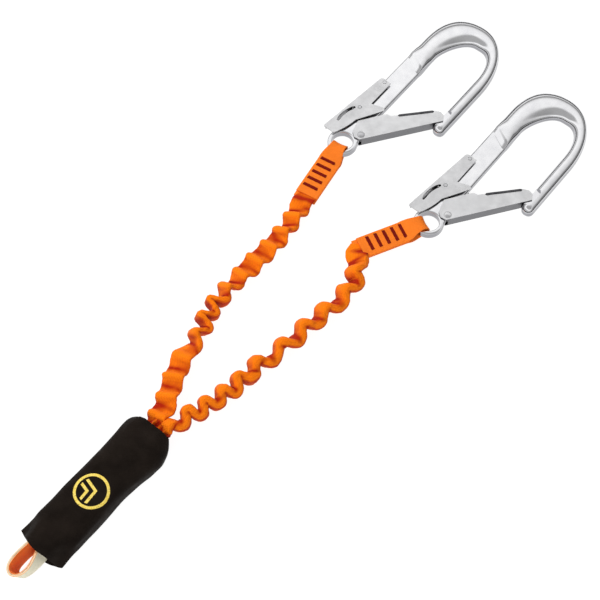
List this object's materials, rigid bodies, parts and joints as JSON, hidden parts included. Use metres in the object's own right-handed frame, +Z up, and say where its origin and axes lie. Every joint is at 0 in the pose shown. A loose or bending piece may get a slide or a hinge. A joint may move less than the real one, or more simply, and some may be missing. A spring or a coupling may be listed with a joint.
{
  "type": "shock absorbing lanyard",
  "caption": "Twin-leg elasticated fall-arrest lanyard with a textile-covered energy absorber, sewn attachment loop and large aluminium scaffold hooks.",
  "frame": {"origin": "on the ground, under the middle of the rigid parts' box", "axes": "+Z up from the ground the lanyard lies on, +Y from the absorber pack towards the hooks, +X across"},
  "size_m": [0.2648, 0.874, 0.034],
  "materials": {
    "pack_textile": "black coated textile",
    "natural_webbing": "undyed high-tenacity webbing",
    "loop_lining": "orange wear lining",
    "orange_webbing": "gathered tubular webbing",
    "stitching": "dark maroon bar-tack thread",
    "elastic_rubber": "covered rubber cord",
    "polished_aluminium": "polished forging",
    "brushed_sheet": "satin pressed sheet",
    "rivet_steel": "plated steel"
  },
  "bodies": {
    "pack": {"pack_cover": "pack_textile", "tear_webbing": "natural_webbing", "keeper_band_lower": "elastic_rubber", "keeper_band_upper": "elastic_rubber", "harness_loop": "natural_webbing", "harness_loop_lining": "loop_lining", "harness_loop_tack_1": "stitching", "harness_loop_tack_2": "stitching", "leg_yoke": "orange_webbing", "leg_yoke_tack_1": "stitching", "leg_yoke_tack_2": "stitching", "left_leg_webbing": "orange_webbing", "left_leg_elastic": "elastic_rubber", "right_leg_webbing": "orange_webbing", "right_leg_elastic": "elastic_rubber"},
    "left_loop": {"left_sewn_loop": "orange_webbing", "left_bar_tack_1": "stitching", "left_bar_tack_2": "stitching", "left_bar_tack_3": "stitching", "left_bar_tack_4": "stitching", "left_bar_tack_5": "stitching"},
    "left_hook": {"left_hook_body": "polished_aluminium", "left_gate_rivet": "rivet_steel", "left_gate_spring": "rivet_steel", "left_lever_rivet": "rivet_steel", "left_lever_guide_pin": "rivet_steel", "left_lever_spring": "rivet_steel"},
    "left_gate": {"left_gate": "brushed_sheet"},
    "left_lever": {"left_lever": "brushed_sheet", "left_lever_stop_rivet": "rivet_steel"},
    "right_loop": {"right_sewn_loop": "orange_webbing", "right_bar_tack_1": "stitching", "right_bar_tack_2": "stitching", "right_bar_tack_3": "stitching", "right_bar_tack_4": "stitching", "right_bar_tack_5": "stitching"},
    "right_hook": {"right_hook_body": "polished_aluminium", "right_gate_rivet": "rivet_steel", "right_gate_spring": "rivet_steel", "right_lever_rivet": "rivet_steel", "right_lever_guide_pin": "rivet_steel", "right_lever_spring": "rivet_steel"},
    "right_gate": {"right_gate": "brushed_sheet"},
    "right_lever": {"right_lever": "brushed_sheet", "right_lever_stop_rivet": "rivet_steel"}
  },
  "joints": [
    {"name": "left_leg_stretch", "type": "slide", "parent": "pack", "child": "left_loop", "axis": [-0.195, 0.9808, 0], "range_m": [0, 0.25], "stiffness_N_per_m": 40, "deforming": ["left_leg_webbing", "left_leg_elastic"]},
    {"name": "left_hook_swing", "type": "hinge", "parent": "left_loop", "child": "left_hook", "pos_m": [-0.102, 0.188, 0.0083], "axis": [0, 0, 1], "range_deg": [-10, 45]},
    {"name": "left_gate_hinge", "type": "hinge", "parent": "left_hook", "child": "left_gate", "pos_m": [-0.0896, 0.208, 0.0083], "axis": [0, 0, 1], "range_deg": [0, 36], "stiffness_Nm_per_rad": 0.15, "springref_deg": -20.05},
    {"name": "left_lever_hinge", "type": "hinge", "parent": "left_hook", "child": "left_lever", "pos_m": [-0.115, 0.2385, 0.0083], "axis": [0, 0, 1], "range_deg": [0, 8], "stiffness_Nm_per_rad": 0.3, "springref_deg": -11.46, "deforming": ["left_lever_spring"]},
    {"name": "right_leg_stretch", "type": "slide", "parent": "pack", "child": "right_loop", "axis": [0.0897, 0.996, 0], "range_m": [0, 0.25], "stiffness_N_per_m": 40, "deforming": ["right_leg_webbing", "right_leg_elastic"]},
    {"name": "right_hook_swing", "type": "hinge", "parent": "right_loop", "child": "right_hook", "pos_m": [0.045, 0.162, 0.0083], "axis": [0, 0, 1], "range_deg": [-45, 10]},
    {"name": "right_gate_hinge", "type": "hinge", "parent": "right_hook", "child": "right_gate", "pos_m": [0.0574, 0.182, 0.0083], "axis": [0, 0, 1], "range_deg": [0, 36], "stiffness_Nm_per_rad": 0.15, "springref_deg": -20.05},
    {"name": "right_lever_hinge", "type": "hinge", "parent": "right_hook", "child": "right_lever", "pos_m": [0.032, 0.2125, 0.0083], "axis": [0, 0, 1], "range_deg": [0, 8], "stiffness_Nm_per_rad": 0.3, "springref_deg": -11.46, "deforming": ["right_lever_spring"]}
  ]
}
